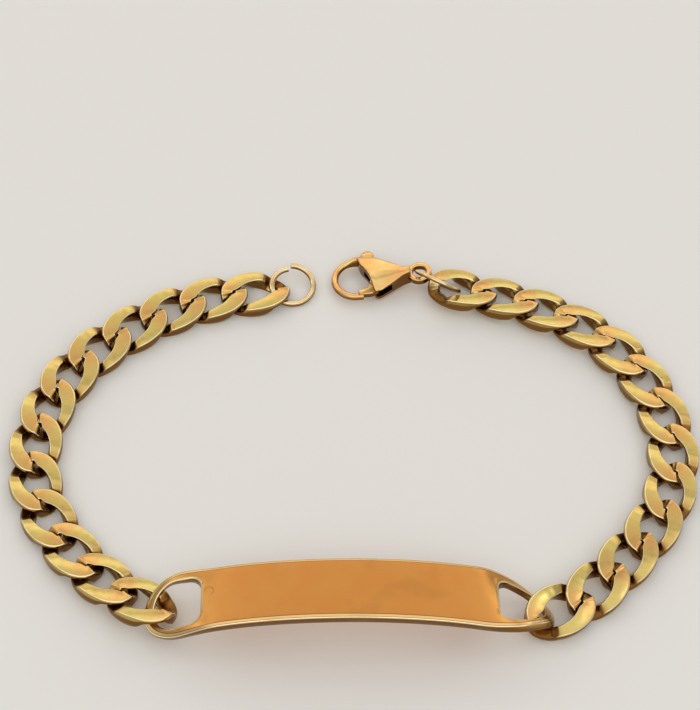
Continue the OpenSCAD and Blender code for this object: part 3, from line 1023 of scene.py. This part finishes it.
def gold(name, deep, bright, drift_share, roughness, waviness, grain_stretch, grain, worn=False):
    """Polished gold plating: colour drifts at random between two golds, with a painted
    yellower reflection colour on marked stretches; fine polishing lines and a slight
    waviness break up its reflections. Side walls and hollows get painted shade, and
    rounded edges get painted highlights and painted dark reflection lines."""
    material = bpy.data.materials.new(name)
    material.use_nodes = True
    tree = material.node_tree
    shader = tree.nodes["Principled BSDF"]
    shader.inputs["Metallic"].default_value = 1
    place = object_place(tree)
    drift = ramp(tree, noise(tree, place, DRIFT_SCALE), *DRIFT_RANGE, 0, drift_share)
    # Random drift, plus the painted yellower reflection colour where the mesh marks it
    yellow = maths(tree, "MULTIPLY_ADD", surface_mark(tree, REFLECTION_YELLOW), 1 - drift_share, drift)
    colour = mixed(tree, yellow, deep, bright)
    # Painted shade on side walls and in hollows
    colour = mixed(tree, painted_shade_share(tree), colour, PAINTED_SHADE_GOLD)
    # Painted highlights on rounded edges, and painted dark reflection lines beside them
    edge = surface_mark(tree, PAINTED_EDGE_LIGHT)
    colour = mixed(tree, ramp(tree, edge, 0, 1, 0, 1), colour, PAINTED_HIGHLIGHT_GOLD)
    colour = mixed(tree, ramp(tree, edge, 0, -1, 0, 1), colour, PAINTED_DARK_LINE_GOLD)
    if worn:
        colour = mixed(tree, wear_share(tree), colour, WORN_GOLD)
    tree.links.new(colour, shader.inputs["Base Color"])
    haze = noise(tree, place, HAZE_SCALE, detail=5)
    tree.links.new(ramp(tree, haze, *HAZE_RANGE, *roughness), shader.inputs["Roughness"])
    lines = {
        "Height": noise(tree, object_place(tree, grain_stretch), scale=1, detail=4),
        "Strength": grain,
        "Distance": GRAIN_DEPTH * MM,
    }
    fine = new_node(tree, "ShaderNodeBump", lines)
    waves = {
        "Height": noise(tree, place, WAVE_SCALE, detail=1),
        "Strength": waviness,
        "Distance": WAVE_DEPTH * MM,
        "Normal": fine.outputs[0],
    }
    wavy = new_node(tree, "ShaderNodeBump", waves)
    tree.links.new(wavy.outputs[0], shader.inputs["Normal"])
    return material


def pale_floor():
    bpy.ops.mesh.primitive_plane_add(size=FLOOR_SIZE)
    floor = bpy.context.object
    floor.name = "pale_floor"
    material = bpy.data.materials.new("matt_pale")
    material.use_nodes = True
    shader = material.node_tree.nodes["Principled BSDF"]
    shader.inputs["Base Color"].default_value = FLOOR_COLOUR
    shader.inputs["Roughness"].default_value = FLOOR_ROUGHNESS
    shader.inputs["Specular IOR Level"].default_value = FLOOR_SHINE
    floor.data.materials.append(material)


def soft_light(name, place, size, brightness, colour):
    """A rectangular light that faces the bracelet. The brightness is its
    surface's own, so a larger light gives more light."""
    data = bpy.data.lights.new(name, "AREA")
    data.shape = "RECTANGLE"
    data.size, data.size_y = size
    data.energy = brightness * math.pi * size[0] * size[1]
    data.color = colour
    light = bpy.data.objects.new(name, data)
    light.location = place
    light.rotation_euler = (-Vector(place)).to_track_quat("-Z", "Y").to_euler()
    bpy.context.scene.collection.objects.link(light)


def studio():
    world = bpy.data.worlds.new("studio")
    bpy.context.scene.world = world
    world.use_nodes = True
    sky = world.node_tree.nodes["Background"]
    sky.inputs["Color"].default_value = WORLD_COLOUR
    sky.inputs["Strength"].default_value = WORLD_BRIGHTNESS
    for row in SOFT_LIGHTS:
        soft_light(*row)
    bpy.context.scene.view_settings.view_transform = "Standard"


def photo_camera():
    data = bpy.data.cameras.new("photo_camera")
    data.sensor_fit = "HORIZONTAL"
    data.sensor_width = CAMERA_SENSOR
    data.lens = CAMERA_LENS
    data.clip_start = CAMERA_NEAR
    camera = bpy.data.objects.new("photo_camera", data)
    place, target = Vector(CAMERA_PLACE) * MM, Vector(CAMERA_TARGET) * MM
    aim = (target - place).to_track_quat("-Z", "Y").to_matrix().to_4x4()
    camera.matrix_world = Matrix.Translation(place) @ aim @ turned(CAMERA_ROLL, "Z")
    bpy.context.scene.collection.objects.link(camera)
    bpy.context.scene.camera = camera


photo_camera()
studio()
pale_floor()

link_gold = gold(
    "link_gold",
    deep=(0.77, 0.43, 0.15),
    bright=(0.74, 0.6, 0.2),
    drift_share=0.3,
    roughness=(0.16, 0.28),
    waviness=0.15,
    grain_stretch=(1, 6, 6),
    grain=0.1,
)
plate_gold = gold(
    "plate_gold",
    deep=(0.75, 0.32, 0.08),
    bright=(0.78, 0.46, 0.14),
    drift_share=0.15,
    roughness=(0.2, 0.26),
    waviness=0.05,
    grain_stretch=(0.15, 7, 7),
    grain=0.05,
    worn=True,
)
ring_gold = gold(
    "ring_gold",
    deep=(0.92, 0.6, 0.3),
    bright=(0.96, 0.84, 0.5),
    drift_share=1.0,
    roughness=(0.14, 0.24),
    waviness=0.15,
    grain_stretch=(3, 3, 3),
    grain=0.1,
)
clasp_gold = gold(
    "clasp_gold",
    deep=(0.91, 0.48, 0.18),
    bright=(0.92, 0.64, 0.25),
    drift_share=1.0,
    roughness=(0.16, 0.26),
    waviness=0.12,
    grain_stretch=(2, 5, 5),
    grain=0.1,
)

make_plate(plate_gold)
make_links(link_gold)
make_jump_ring(ring_gold)
make_connector(ring_gold)
make_clasp_body(clasp_gold)
make_lever(clasp_gold)
